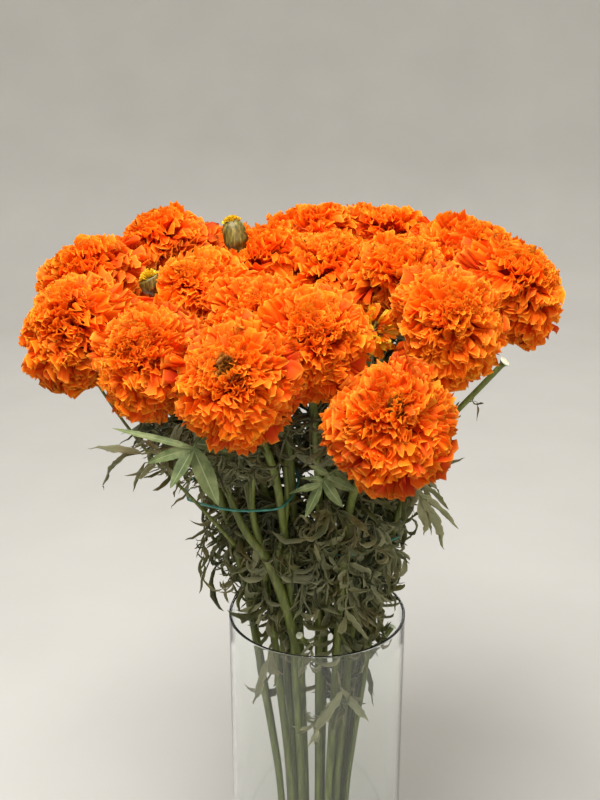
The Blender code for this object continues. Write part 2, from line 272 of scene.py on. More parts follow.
def smooth_line(line, steps):
    """More points on a smooth curve through the (point, radius) pairs of a line."""
    ends = [line[0]] + list(line) + [line[-1]]
    made = []
    for a, b, c, d in zip(ends, ends[1:], ends[2:], ends[3:]):
        for step in range(steps):
            t = step / steps
            point = (b[0] * 2 + (c[0] - a[0]) * t + (a[0] * 2 - b[0] * 5 + c[0] * 4 - d[0]) * t * t
                     + (b[0] * 3 - a[0] - c[0] * 3 + d[0]) * t ** 3) / 2
            made.append((point, b[1] + (c[1] - b[1]) * t * t * (3 - 2 * t)))
    return made + [line[-1]]


def blank(number=None):
    """An empty bmesh with a UV map and, where one is named, a number on each vertex."""
    bm = bmesh.new()
    bm.loops.layers.uv.new("UVMap")
    if number:
        bm.verts.layers.float.new(number)
    return bm


def sized(place, turned, size):
    """Matrix that scales by size, turns and moves to a place."""
    return Matrix.LocRotScale(place, turned, Vector((size, size, size)))


def stalk(line, sides, rib=0.0):
    """A round or ribbed stalk along a line of (point, radius) pairs, with closed ends."""
    bm = blank()
    ring = bmesh.ops.create_circle(bm, segments=sides, radius=1.0, cap_ends=True)["verts"]
    for number, v in enumerate(ring):
        v.co *= 1 + rib * (1 if number % 2 else -1)
    bm.edges.index_update()
    edges = in_order({edge for v in ring for edge in v.link_edges})
    ahead = (line[1][0] - line[0][0]).normalized()
    turned = ahead.to_track_quat("Z", "Y")
    at = sized(line[0][0], turned, line[0][1])
    bmesh.ops.transform(bm, matrix=at, verts=ring)
    bmesh.ops.reverse_faces(bm, faces=bm.faces)
    for number in range(1, len(line)):
        point, radius = line[number]
        after = line[min(number + 1, len(line) - 1)][0]
        new_ahead = (after - line[number - 1][0]).normalized()
        turned = ahead.rotation_difference(new_ahead) @ turned
        ahead = new_ahead
        grown = bmesh.ops.extrude_edge_only(bm, edges=edges)["geom"]
        verts = [part for part in grown if isinstance(part, bmesh.types.BMVert)]
        edges = [part for part in grown if isinstance(part, bmesh.types.BMEdge)
                 and part.verts[0] in verts and part.verts[1] in verts]
        then = sized(point, turned, radius)
        bmesh.ops.transform(bm, matrix=then @ at.inverted(), verts=verts)
        at = then
    bmesh.ops.holes_fill(bm, edges=edges)
    bmesh.ops.recalc_face_normals(bm, faces=bm.faces)
    return bm


def add_to(whole, part, material=0):
    """Adds one bmesh to another, with the material of that number, and frees it."""
    for face in part.faces:
        face.material_index = material
    mesh = as_mesh("part", part)
    whole.from_mesh(mesh)
    bpy.data.meshes.remove(mesh)


# Live stalk: olive green, waxy, with darker long streaks; painted shade makes it darker the lower it
# stands, darkest inside the vase, and paler and greyer towards the neck.
stalk_green, tree, here = new_material("green_stalk")
along = node(tree, "Mapping", {"Vector": here, "Scale": (1.0, 1.0, 0.12)})
streak = node(tree, "TexNoise", {"Vector": along, "Scale": 420.0, "Detail": 3.0})
blotch = node(tree, "TexNoise", {"Vector": along, "Scale": 60.0, "Detail": 2.0})
green = node(tree, "ValToRGB", {"Fac": streak}, [(0.30, "#434E1B"), (0.52, "#68742F"), (0.75, "#949C52")])
aged = node(tree, "ValToRGB", {"Fac": blotch}, [(0.35, "#5E5A2A"), (0.65, "#7F8A3B")])
mix = node(tree, "Mix", {"Factor": 0.4, "A": green, "B": aged}, data_type="RGBA")
# Painted shade: the lower the stalk stands, the darker.
height = node(tree, "SeparateXYZ", {"Vector": here})
depth = node(tree, "MapRange", {"Value": height.outputs["Z"], "From Min": 0.10, "From Max": 0.36,
                                "To Min": 0.55, "To Max": 0.88})
shade = node(tree, "HueSaturation", {"Value": depth, "Color": mix.outputs["Result"]})
skin(tree, shade, 0.46, (streak, 0.3, 0.4), gloss=0.4)

# Cut pith: the dry, pale face of a stalk that was cut or has lost its flower.
pith, tree, here = new_material("cut_pith")
speck = node(tree, "TexNoise", {"Vector": here, "Scale": 900.0, "Detail": 2.0})
pale = node(tree, "ValToRGB", {"Fac": speck}, [(0.3, "#B9BE9C"), (0.7, "#EEF0DC")])
skin(tree, pale, 0.7)


def add_end(whole, place, ahead, radius):
    """A thin pale disc of pith on the end of a stalk."""
    disc = [(place + ahead * step * MM, radius * share)
            for step, share in ((-0.5, 0.9), (-0.2, 1), (0.3, 0.96), (0.5, 0.7))]
    add_to(whole, stalk(disc, 12), 1)


def spot(name, x, y, z):
    """The point at those shares of a CAD node's box."""
    low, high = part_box(name)
    return Vector((low.x + (high.x - low.x) * x, low.y + (high.y - low.y) * y, low.z + (high.z - low.z) * z))


def add_stem(whole, line):
    """Adds a ribbed stem."""
    add_to(whole, stalk(smooth_line(line, STEM_STEPS), STEM_SIDES, STEM_RIB))


places = sorted(name[5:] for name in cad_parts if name.startswith("head_"))
stem_names = ["stem_" + place for place in places] + ["bare_stem"]
routes = {name: ring_line(name, 6) for name in stem_names}
bm = blank()
for name in stem_names[:-1]:
    add_stem(bm, routes[name])
bare = [(point, min(radius, BARE_RADIUS)) for point, radius in routes["bare_stem"]]
bare[-1] = (bare[-1][0], BARE_FLARE)
add_stem(bm, bare)
add_end(bm, bare[-1][0], (bare[-1][0] - bare[-2][0]).normalized(), BARE_FLARE + 0.3 * MM)

# Side shoots: shares of the left tie's box across and along, height above it in mm, radius in mm. The
# first is thick and forks into the next two inside the tie, and the last runs out past it.
SIDE_SHOOTS = (
    ((1.02, 0.34, -150, 2.6), (0.92, 0.2, -96, 3.4), (0.66, 0.1, -40, 3.2), (0.45, 0.06, -20, 2.5),
     (0.26, 0.12, 4, 1.9), (0.12, 0.2, 26, 1.3)),
    ((0.62, 0.09, -34, 2.6), (0.53, 0.08, -16, 2.1), (0.5, 0.07, 2, 1.8), (0.54, 0.04, 34, 1.4)),
    ((0.72, 0.1, -46, 2.4), (0.8, 0.07, -24, 1.8), (0.86, 0.1, -2, 1.5), (0.84, 0.08, 30, 1.2)),
    ((0.3, 0.14, -30, 1.2), (-0.1, 0.06, 4, 1), (-0.52, -0.02, 38, 0.9), (-0.9, -0.1, 78, 0.8),
     (-1.05, -0.14, 100, 0.8)),
)
for shoot in SIDE_SHOOTS:
    add_stem(bm, [(spot("tie_left", x, y, 1) + UP * z * MM, radius * MM) for x, y, z, radius in shoot])

# Two short cut side shoots at the mouth of the vase, as shares of its box: foot and cut end.
CUT_SHOOTS = (((0.46, 0.26, 0.95), (0.40, 0.17, 1.014)), ((0.80, 0.46, 0.86), (0.93, 0.47, 0.955)))
cut_ends = []
for foot, end in CUT_SHOOTS:
    foot, end = spot("vase", *foot), spot("vase", *end)
    add_to(bm, stalk([(foot, 2.0 * MM), (foot.lerp(end, 0.5), 1.8 * MM), (end, 1.8 * MM)], 12))
    add_end(bm, end, (end - foot).normalized(), 2.5 * MM)
    cut_ends.append(end)
stems = add_piece("flower_stems", bm, stalk_green, pith)
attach(stems, "root")
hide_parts(*stem_names)

# ---------------------------------------------------------------- ties
# Two thin bands of teal elastic, each stretched once round a bunch of stems.

# Dyed latex elastic: a little translucent, with a soft sheen.
elastic, tree, here = new_material("latex_elastic")
grain = node(tree, "TexNoise", {"Vector": here, "Scale": 260.0, "Detail": 3.0})
tint = node(tree, "ValToRGB", {"Fac": grain}, [(0.3, "#2C6E60"), (0.7, "#4B9A86")])
skin(tree, tint, 0.42, (grain, 0.2, 0.2))

# The leaves inside push the left band out, most in one place at its front, and it sinks to its left.
LEFT_TIE_STRETCH = 1.25
LEFT_TIE_DROOP = 0.12               # drop as a share of the way to its left end
LEFT_TIE_LIFT = 4 * MM
BULGE_DEPTH = 13 * MM
BULGE_PLACE = 48 * MM               # its middle, left of the band's right end
BULGE_WIDTH = 26 * MM


def stretched_tie(name):
    """A CAD tie, pushed out to its left by the leaves inside it."""
    bm = merged(name)
    right = max(v.co.x for v in bm.verts)
    if name == "tie_left":
        for v in bm.verts:
            v.co.x = right + (v.co.x - right) * LEFT_TIE_STRETCH
            bulge = exp(-((v.co.x - right + BULGE_PLACE) / BULGE_WIDTH) ** 2) * (v.co.y < 0)
            v.co.y -= BULGE_DEPTH * bulge * min(-v.co.y / (20 * MM), 1)
            v.co.z += (v.co.x - right) * LEFT_TIE_DROOP + LEFT_TIE_LIFT
    return bm


for name in ("tie_left", "tie_right"):
    bm = stretched_tie(name)
    bmesh.ops.join_triangles(bm, faces=bm.faces, angle_face_threshold=1.0, angle_shape_threshold=3.0)
    band = add_piece("elastic_" + name, bm, elastic)
    rounder = band.modifiers.new("rounder", "SUBSURF")
    rounder.levels = rounder.render_levels = 2
    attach(band, "root")
    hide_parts(name)

# ---------------------------------------------------------------- petals
# Full double marigolds: each head is a dome of over 400 soft florets. A floret is a narrow claw that
# opens into a fan with a ruffled, notched edge. The inner ones stand upright and packed, the next
# curl back over their neighbours like shingles, and the outer ones are longer and hang.

# Kinds of floret: columns of the mesh, and its rows as shares of the length; length, width and height of
# the ruffles in mm; waves across, curl back in degrees and cup; and the share of the red, painted shade
# down its claw, that it leaves out.
PETAL_KINDS = {
    "inner": (8, (0, 0.50, 0.80, 1), 10.5, 7.5, 1.4, (1.8, 2.8), (-30, 40), (-0.15, 0.30), 0.56),
    "middle": (12, (0, 0.50, 0.80, 1), 15.0, 11.5, 2.5, (2.2, 3.4), (0, 65), (-0.25, 0.20), 0.34),
    "outer": (13, (0, 0.44, 0.78, 1), 24.0, 15.0, 3.3, (2.0, 3.2), (10, 75), (-0.25, 0.15), 0.12),
}
SHAPES_PER_KIND = 14
PETALS_PER_HEAD = 430
GOLDEN_TURN = 2.39996               # radians from one petal to the next, as flowers grow
WIDEST = 2.06                       # radians from the crown to the lowest row of petals
LEAN_STEPS = 16                     # steps from the crown to the widest, where a head's reach is taken
CROWDING = 0.90                     # 0.5 would space petals evenly, more crowds them at the crown
CORE_SIZE = 0.5                     # core under the petals, as a share of the head
PRESSED_OVERLAP = 9 * MM            # how far petals reach in between those of a neighbour
GROOVE = 9 * MM                     # width of the grooves that petals close between heads
STANDS_APART = ("front_right",)     # hangs clear of the rest
SMALLER = {"front_left": 0.95}      # a head that has drawn in
HEARTS = {"front_left": 0.20, "front_right": 0.11}      # heart of tubes, radians from the crown
DRIFT = (0.18, 60, 34)              # how patches of petals differ: reach, roll and tilt in degrees
SHADED_BELOW = 0.465                # height in metres under which painted shade darkens the heads
SHADE_RATE = 5.0                    # fall of that painted shade's tone for each metre

noise.seed_set(4)                   # every run crumples the petals and leaves in the same way


def petal_shape(kind, seed):
    """One floret, in metres: its claw at the origin, its length along Z, its upper face to +Y."""
    chance = random.Random(kind + str(seed))
    columns, levels, length, width, ruffle, waves, curl, cup, claw_shade_skipped = PETAL_KINDS[kind]
    waves, curl, cup = (chance.uniform(*bounds) for bounds in (waves, curl, cup))
    phase, second = chance.uniform(0, tau), chance.uniform(0, tau)
    notch_at, twist = chance.uniform(-0.5, 0.5), chance.uniform(-0.5, 0.5)
    rows, last = [[] for _ in levels], len(levels) - 1
    bm = blank("tone_and_shade")
    bmesh.ops.create_grid(bm, x_segments=columns, y_segments=last, size=0.5, calc_uvs=True)
    for v in bm.verts:
        across, row = 2 * v.co.x, round((v.co.y + 0.5) * last)
        share = levels[row]
        opened = 0.14 + 0.86 * sin(pi / 2 * min(share / 0.78, 1)) ** 1.3
        bent = pi * waves * (across + 0.25 * sin(1.7 * across + phase))
        wave = sin(bent + phase) + 0.4 * sin(2.2 * bent + second)
        lobe = cos(bent + phase + 0.8) + 0.25 * cos(2.2 * bent + second)
        tip = share - 0.11 * across ** 2 * share ** 2 - 0.10 * across ** 4 * share ** 3
        tip += 0.045 * lobe * share ** 3 - 0.05 * exp(-((across - notch_at) / 0.15) ** 2) * share ** 3
        side = across * opened * (1 - 0.1 * across ** 2 * share) * width / 2 + 0.5 * lobe * share ** 2
        high = ruffle * wave * share ** 1.5 + cup * width * across ** 2 * share
        v.co = Vector((side, high, tip * length)) * MM
        rows[row].append(v)
    # The map's length runs from the claw's red, painted shade, to the margin's painted highlight; a kind
    # skips its share of the claw.
    uv = bm.loops.layers.uv.active
    for face in bm.faces:
        for loop in face.loops:
            loop[uv].uv.y = claw_shade_skipped + (1 - claw_shade_skipped) * levels[round(loop[uv].uv.y * last)] ** 2
    turn = Matrix.Rotation(radians(curl) / last, 3, "X") @ Matrix.Rotation(twist / last, 3, "Z")
    for row in range(1, len(rows)):
        hinge = sum((v.co for v in rows[row - 1]), Vector()) / len(rows[row - 1])
        above = [v for later in rows[row:] for v in later]
        bmesh.ops.rotate(bm, cent=hinge, verts=above, matrix=turn)
    height = max(v.co.z for v in bm.verts)
    return as_mesh(f"petal_{kind}_{seed}", bm), height


petal_shapes = {kind: [petal_shape(kind, seed) for seed in range(SHAPES_PER_KIND)]
                for kind in PETAL_KINDS}

# Marigold petal: a soft thin leaf of deep orange, yellower and brighter at its thin margin, a painted
# highlight, and red to maroon down its claw, painted shade deep in the head, with fine long veins. Each
# petal's tone varies at random and carries painted shade too. Light from behind glows through it.
petal, tree, here = new_material("marigold_petal", mapped=True)
veined = node(tree, "Mapping", {"Vector": here, "Scale": (26.0, 1.4, 1.0)})
vein = node(tree, "TexNoise", {"Vector": veined, "Scale": 1.0, "Detail": 2.0})
sides = node(tree, "SeparateXYZ", {"Vector": here})
wander = node(tree, "Math", {0: vein, 1: 0.16, 2: sides.outputs["Y"]}, operation="MULTIPLY_ADD")
level = node(tree, "Math", {0: wander, 1: 0.08}, operation="SUBTRACT")
flesh_shade_and_highlight = node(tree, "ValToRGB", {"Fac": level},
             [(0.05, "#9A1806"), (0.985, "#FFA22C"), (0.28, "#E2400A"), (0.54, "#FC620C"), (0.91, "#FF7C14")])
tone_and_shade = node(tree, "Attribute", attribute_name="tone_and_shade")
warm = node(tree, "MapRange", {"Value": tone_and_shade.outputs["Fac"], "To Min": 0.484, "To Max": 0.512})
lit = node(tree, "MapRange", {"Value": tone_and_shade.outputs["Fac"], "From Max": 0.6, "To Min": 0.55})
tinted = node(tree, "HueSaturation", {"Hue": warm, "Value": lit, "Color": flesh_shade_and_highlight})
skin(tree, tinted, 0.6, (vein, 0.35, 0.4), gloss=0.12, glow=0.38)

# Tubes at the heart of a flower that has opened fully: brown-orange with an olive foot.
tubes, tree, here = new_material("heart_tubes", mapped=True)
sides = node(tree, "SeparateXYZ", {"Vector": here})
brown = node(tree, "ValToRGB", {"Fac": sides.outputs["Y"]},
             [(0.5, "#2E260C"), (0.99, "#B4701A"), (0.85, "#6E3E0E")])
skin(tree, brown, 0.6)


def head_space(place):
    """Axis, centre and radius of a CAD head, its surface, and how far it reaches where nothing presses."""
    (below, _), (seat, _) = routes["stem_" + place][-2:]
    up = (seat - below).normalized()
    cad = merged("head_" + place)
    radius = max(((v.co - seat) - up * (v.co - seat).dot(up)).length for v in cad.verts)
    surface = BVHTree.FromBMesh(cad)
    cad.free()
    centre = seat + up * radius * 0.5
    free = [max(to_surface(centre, up, surface, radius, WIDEST * step / LEAN_STEPS, tau * turn / 24)[2]
                for turn in range(24)) for step in range(LEAN_STEPS + 3)]
    return up, centre, radius, surface, free


def to_surface(centre, up, surface, radius, lean, compass):
    """Direction at a lean from the crown and a compass turn, and how far the CAD head reaches there."""
    out = Matrix.Rotation(compass, 3, up) @ up.orthogonal().normalized()
    along = (up * cos(lean) + out * sin(lean)).normalized()
    hit = surface.ray_cast(centre, along)[0]
    return out, along, (hit - centre).length if hit else radius * 0.7


spaces = {place: head_space(place) for place in places}


def filled_reach(place, along, free):
    """Reach that also fills the groove towards the heads beside this one."""
    _, centre, radius, _, _ = spaces[place]
    near = [(other, size) for name, (_, other, size, _, _) in spaces.items()
            if name not in (place, *STANDS_APART) and (other - centre).length < radius + size + 10 * MM]
    reach = free
    for _ in range(4):
        point = centre + along * reach
        fill = sum(exp(min((size * 0.92 - (point - other).length) / GROOVE, 0)) for other, size in near)
        fill *= min(max(2.5 * along.z + 0.5, 0), 1)     # the undersides stay open
        reach = free - GROOVE * log(max(1 - fill, 0.25))
    return reach


def on_line(point, a, b):
    """The point between a and b nearest to a point."""
    step = b - a
    return a + step * min(max((point - a).dot(step) / step.length_squared, 0), 1)


# Room kept free of petals: round each bud, and in front of it so that it shows. How far its rings sit
# below the CAD's, the radius of the room, and of the room in front as a share of it.
BUD_ROOMS = (
    ("closed_bud", 0, 12.5 * MM, 0.95),
    ("half_open_bud", 4 * MM, 11 * MM, 0.75),
    ("spent_flower", 14 * MM, 19.5 * MM, 0.95),
)
bud_rooms = []
for name, lower, room, share in BUD_ROOMS:
    rings = [point - UP * lower for point, _ in ring_line(name, 8)]
    bud_rooms.append((rings[2], rings[-1] + UP * 6 * MM, room))
    bud_rooms.append((rings[4], rings[4] + Vector((0, -30, 8)) * MM, room * share))
hollow_floor = rings[1] + Vector((-6, -8, 18)) * MM      # the dark gap below the spent flower
bud_rooms.append((hollow_floor, hollow_floor + Vector((0, -26, 10)) * MM, 11 * MM))


def clear_of_buds(centre, along, reach):
    """Reach cut short where a petal would cover a bud."""
    for _ in range(9):
        points = [centre + along * reach * share for share in (0.84, 1.0)]
        if all((on_line(point, a, b) - point).length > room for a, b, room in bud_rooms for point in points):
            break
        reach *= 0.94
    return reach


def add_copy(bm, mesh, matrix, number, value, material=0):
    """Adds a small mesh where a matrix puts it; its vertices get a value of the named number."""
    part = mesh.copy()
    part.transform(matrix)
    first, first_face = len(bm.verts), len(bm.faces)
    bm.from_mesh(part)
    bpy.data.meshes.remove(part)
    bm.verts.ensure_lookup_table()
    bm.faces.ensure_lookup_table()
    layer = bm.verts.layers.float[number]
    for v in bm.verts[first:]:
        v[layer] = value
    for face in bm.faces[first_face:]:
        face.material_index = material


def crumpled(bm, *waves):
    """Shifts a soft surface by waves of noise: how tight, and how high in mm."""
    for v in bm.verts:
        v.co += sum((noise.noise_vector(v.co * tight) * high * MM for tight, high in waves), Vector())
    return bm


def facing(along, face, spare):
    """Rotation that points Z along a direction and +Y as near to face as it goes, or else to spare."""
    face = face - along * face.dot(along)
    face = face.normalized() if face.length > 0.05 else spare
    return Matrix((face.cross(along).normalized(), face, along)).transposed()


# Each head is filled with florets that reach the CAD head's surface, round a core that stops the gaps.
for place in places:
    chance = random.Random("head_" + place)
    up, centre, radius, surface, unpressed = spaces[place]
    size = radius / (36 * MM)
    bm = blank("tone_and_shade")
    core = bmesh.ops.create_uvsphere(bm, u_segments=16, v_segments=10, radius=radius * CORE_SIZE)["verts"]
    squat = Matrix.LocRotScale(centre - up * radius * 0.08, up.to_track_quat("Z", "Y"), Vector((1, 1, 0.96)))
    bmesh.ops.transform(bm, matrix=squat, verts=core)
    for v in core:
        v[bm.verts.layers.float["tone_and_shade"]] = 0.5
    for number in range(PETALS_PER_HEAD):
        lean = WIDEST * ((number + 0.5) / PETALS_PER_HEAD) ** CROWDING + chance.gauss(0, 0.06)
        compass = number * GOLDEN_TURN + chance.gauss(0, 0.12)
        out, along, reach = to_surface(centre, up, surface, radius, lean, compass)
        free = unpressed[min(int(abs(lean) / WIDEST * LEAN_STEPS + 0.5), LEAN_STEPS + 2)]
        free = free - 2 * MM if place in STANDS_APART else filled_reach(place, along, free)
        reach = min(reach + PRESSED_OVERLAP, free)
        if reach < 0.42 * radius:
            continue
        drift = noise.noise_vector(along * 1.9 + centre * 40)
        inner_edge, outer_edge = 0.62 + chance.gauss(0, 0.1), 1.25 + chance.gauss(0, 0.14)
        kind = "inner" if lean < inner_edge else "middle" if lean < outer_edge else "outer"
        mesh, tall = chance.choice(petal_shapes[kind])
        scale = size * chance.uniform(0.86, 1.12)
        reach = reach * (1.0 + DRIFT[0] * drift.x + chance.uniform(-0.06, 0.03)) + 1.0 * MM
        reach = clear_of_buds(centre, along, reach) * SMALLER.get(place, 1)
        heart = abs(lean) < HEARTS.get(place, 0)
        if heart:
            reach *= 0.93
        loose = 70 if kind == "inner" else 32
        roll = Matrix.Rotation(radians(chance.gauss(0, loose) + DRIFT[1] * drift.y), 3, "Z")
        tip_back = Matrix.Rotation(radians(chance.gauss(2, 11) + DRIFT[2] * drift.z), 3, "X")
        turned = facing(along, up, out) @ roll @ tip_back
        root = centre + along * (reach - tall * scale)
        # Each petal's tone varies at random; painted shade lowers it on the hanging outer petals and on heads
        # that stand low.
        tone_and_shade = chance.gauss(0.66 if lean < 1.35 else 0.40, 0.14) + SHADE_RATE * (centre.z - SHADED_BELOW)
        add_copy(bm, mesh, sized(root, turned.to_quaternion(), scale), "tone_and_shade",
                 min(max(tone_and_shade, 0), 1), int(heart))
    crumpled(bm, (75, 2.4), (200, 1.5))
    head = add_piece("petals_" + place, bm, *((petal, tubes) if place in HEARTS else (petal,)))
    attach(head, "root")
    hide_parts("head_" + place)

# ---------------------------------------------------------------- buds and the spent flower
# Two buds and one flower past its best stand on thin side stalks between the heads. A bud is a ribbed
# barrel of fused green sepals with yellow petal tips at its mouth.

BUD_SIDES = 20
BUD_RIB = 0.06
SEPAL, YOUNG, PETAL, TUBES = 1, 2, 3, 4     # order of a bud's materials after its stalk's

# Fused sepals: olive green going brown, with a pale line down each rib.
sepal, tree, here = new_material("bud_sepals")
along = node(tree, "Mapping", {"Vector": here, "Scale": (1.0, 1.0, 0.2)})
streak = node(tree, "TexNoise", {"Vector": along, "Scale": 620.0, "Detail": 3.0})
olive = node(tree, "ValToRGB", {"Fac": streak},
             [(0.32, "#3F3A12"), (0.72, "#A08F48"), (0.52, "#6B5F1F")])
skin(tree, olive, 0.5, (streak, 0.5, 0.4))

# Young petal: yellow with a green cast where it is still folded.
young, tree, here = new_material("young_petal", mapped=True)
sides = node(tree, "SeparateXYZ", {"Vector": here})
yellow = node(tree, "ValToRGB", {"Fac": sides.outputs["Y"]},
              [(0.2, "#6E6A12"), (0.95, "#F0C81E"), (0.6, "#D2A813")])
skin(tree, yellow, 0.5, glow=0.25)


def fan(bm, kind, base, up, chance, count, reach, spread, scale, narrow, material):
    """Adds a tuft of florets round an axis: how many, reach in mm, spread in radians, and their size."""
    side = up.orthogonal().normalized()
    for number in range(count):
        lean = spread * ((number + 0.5) / count) ** 0.6
        out = Matrix.Rotation(number * GOLDEN_TURN + chance.gauss(0, 0.2), 3, up) @ side
        along = (up * cos(lean) + out * sin(lean)).normalized()
        inward = (up - along * up.dot(along) + out * 0.01).normalized()
        turned = Matrix((inward.cross(along).normalized(), inward, along)).transposed()
        roll = Matrix.Rotation(chance.gauss(0, 0.5), 3, "Z")
        mesh, tall = chance.choice(petal_shapes[kind])
        size = scale * chance.uniform(0.85, 1.15)
        root = base + along * (reach * MM - tall * size * 0.6)
        shrink = Vector((size * narrow, size * narrow, size))
        add_copy(bm, mesh, Matrix.LocRotScale(root, (turned @ roll).to_quaternion(), shrink), "tone_and_shade", 0.75,
                 material)


# Each bud's kind name, how much of its barrel is closed, how far it sits below the CAD's and how much
# fatter it is; the step from its mouth to its tuft in mm, and the tuft's tilt. Rows of florets: kind, step
# forward in mm, number, reach in mm, spread in radians, size, narrowness, material, and their sag.
BUDS = {
    "closed_bud": ("bud", 0.9, 0, 1.1, (0, 0, 0), (0, 0, 0), [
        ("inner", -4.2, 34, 6.2, 0.90, 0.40, 1.00, YOUNG, (0, 0, 0))]),
    "half_open_bud": ("bud", 0.75, 4, 1.1, (0, 0, 0), (0, 0, 0), [
        ("inner", -3.0, 24, 6.0, 1.00, 0.48, 1.00, YOUNG, (0, 0, 0))]),
    "spent_flower": ("spent_flower", 0.5, 14, 0.8, (-1.5, -7.0, 1.5), (0.15, -1.5, -0.2), [
        ("inner", 0.0, 26, 12.5, 1.70, 0.95, 0.65, PETAL, (0, 0, 0)),
        ("inner", 3.0, 20, 11.0, 1.35, 0.85, 0.60, YOUNG, (0, 0, 0)),
        ("inner", 3.0, 17, 10.5, 1.30, 0.78, 0.60, PETAL, (0, 0, 0)),
        ("inner", 4.0, 12, 6.5, 1.00, 0.60, 0.50, TUBES, (0, 0, 0)),
        ("middle", 0.0, 3, 15.0, 0.40, 0.60, 0.60, PETAL, (-0.6, 0, -0.7))]),
}
for name, (slot_name, closed, lower, fatter, step, tilt, tuft) in BUDS.items():
    line, chance = ring_line(name, 8), random.Random(name)
    barrel = [(point - UP * lower * MM, radius * fatter) for point, radius in line[2:]]
    bm = blank("tone_and_shade")
    add_to(bm, stalk(smooth_line(line[:2] + [(barrel[0][0], line[2][1])], 6), 8, 0.05))
    mouth = max(3, round(len(barrel) * closed)) - 1
    add_to(bm, stalk(smooth_line(barrel[:mouth + 1], 5), BUD_SIDES, BUD_RIB), SEPAL)
    up = (barrel[-1][0] - barrel[0][0]).normalized()
    ahead = (up + Vector(tilt)).normalized()
    heart = barrel[mouth][0] + Vector(step) * MM
    for kind, forward, *florets, sag in tuft:
        fan(bm, kind, heart + ahead * forward * MM, ahead + Vector(sag), chance, *florets)
    made = add_piece(name + "_flesh", bm, stalk_green, sepal, young, petal, tubes)
    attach(made, "root")
    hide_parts(name)

# ---------------------------------------------------------------- leaves
# Marigold leaves are feathers of narrow toothed leaflets on a thin midrib. Two young ones are still
# flat and mid green; the rest have wilted, folded along their midribs and curled into dull grey-green
# strips that hang all round the bunch and down into the vase.

# Living leaf: mid green, matt, with a pale midrib and fine side veins.
fresh, tree, here = new_material("fresh_leaf_skin", mapped=True)
sides = node(tree, "SeparateXYZ", {"Vector": here})
off = node(tree, "Math", {0: sides.outputs["X"], 1: 0.5}, operation="SUBTRACT")
off = node(tree, "Math", {0: off}, operation="ABSOLUTE")
midrib = node(tree, "MapRange", {"Value": off, "From Min": 0.01, "From Max": 0.05, "To Min": 1, "To Max": 0})
slant = node(tree, "Math", {0: off, 1: -0.9, 2: sides.outputs["Y"]}, operation="MULTIPLY_ADD")
vein = node(tree, "Math", {0: slant, 1: 75.0}, operation="MULTIPLY")
vein = node(tree, "Math", {0: vein}, operation="SINE")
spread = node(tree, "TexCoord").outputs["Object"]
patch = node(tree, "TexNoise", {"Vector": spread, "Scale": 140.0, "Detail": 3.0})
green = node(tree, "ValToRGB", {"Fac": patch}, [(0.3, "#4A5A30"), (0.7, "#87915F"), (0.5, "#677543")])
ribbed = node(tree, "Mix", {"Factor": midrib, "A": green, "B": "#93A070"}, data_type="RGBA")
skin(tree, ribbed.outputs["Result"], 0.55, (vein, 0.25, 0.3), glow=0.2)

# Wilted leaf: dry grey-green to olive, creased, its thin edges bleached paler.
dry, tree, here = new_material("wilted_leaf_skin", mapped=True)
sides = node(tree, "SeparateXYZ", {"Vector": here})
off = node(tree, "Math", {0: sides.outputs["X"], 1: 0.5}, operation="SUBTRACT")
off = node(tree, "Math", {0: off}, operation="ABSOLUTE")
spread = node(tree, "TexCoord").outputs["Object"]
patch = node(tree, "TexNoise", {"Vector": spread, "Scale": 45.0, "Detail": 5.0})
crease = node(tree, "TexNoise", {"Vector": spread, "Scale": 700.0, "Detail": 3.0})
green = node(tree, "ValToRGB", {"Fac": patch},
             [(0.27, "#272A12"), (0.76, "#8D8C58"), (0.42, "#3B4019"), (0.54, "#565727"), (0.65, "#6B5C2E")])
edge = node(tree, "MapRange", {"Value": off, "From Min": 0.34, "From Max": 0.5, "To Max": 0.25})
bleach = node(tree, "Attribute", attribute_name="bleach").outputs["Fac"]
pale = node(tree, "Math", {0: edge, 1: bleach}, operation="ADD", use_clamp=True)
bleached = node(tree, "Mix", {"Factor": pale, "A": green, "B": "#B0AF86"}, data_type="RGBA")
skin(tree, bleached.outputs["Result"], 0.62, (crease, 0.5, 0.4), glow=0.15)


def leaflet_shape(name, length, width, fold, curl, twist, columns, rows, tooth, chance):
    """One leaflet in metres: its foot at the origin, its length along Z, its upper face to +Y."""
    bm = blank()
    bmesh.ops.create_grid(bm, x_segments=columns, y_segments=rows, size=0.5, calc_uvs=True)
    levels = [[] for _ in range(rows + 1)]
    for v in bm.verts:
        across, share = 2 * v.co.x, v.co.y + 0.5
        row = round(share * rows)
        wide = sin(pi * (0.04 + 0.955 * share) ** 0.85) ** 0.8
        wide *= 1 + (tooth if row % 2 else -tooth) * (abs(across) > 0.9)
        v.co = Vector((across * wide * cos(fold) * width / 2,
                       abs(across) * wide * sin(fold) * width / 2, share * length)) * MM
        levels[row].append(v)
    turn = 0.0
    for row in range(1, rows + 1):
        middle = levels[row - 1][len(levels[row - 1]) // 2].co.copy()
        above = [v for later in levels[row:] for v in later]
        turn += chance.gauss(0, 0.3)
        bow = Matrix.Rotation(curl / rows * (1 + sin(turn)), 3, "X")
        bmesh.ops.rotate(bm, cent=middle, verts=above, matrix=bow)
        ahead = (levels[row][len(levels[row]) // 2].co - middle).normalized()
        screw = Matrix.Rotation(twist / rows + chance.gauss(0, 0.08), 3, ahead)
        bmesh.ops.rotate(bm, cent=middle, verts=above, matrix=screw)
    return as_mesh(name, bm)


def place_leaflet(bm, mesh, foot, along, face, size, bleach):
    """Adds a leaflet that faces as near to face as it goes, with how far its green has faded."""
    along = along.normalized()
    turned = facing(along, face, along.orthogonal().normalized())
    add_copy(bm, mesh, sized(foot, turned.to_quaternion(), size), "bleach", bleach)


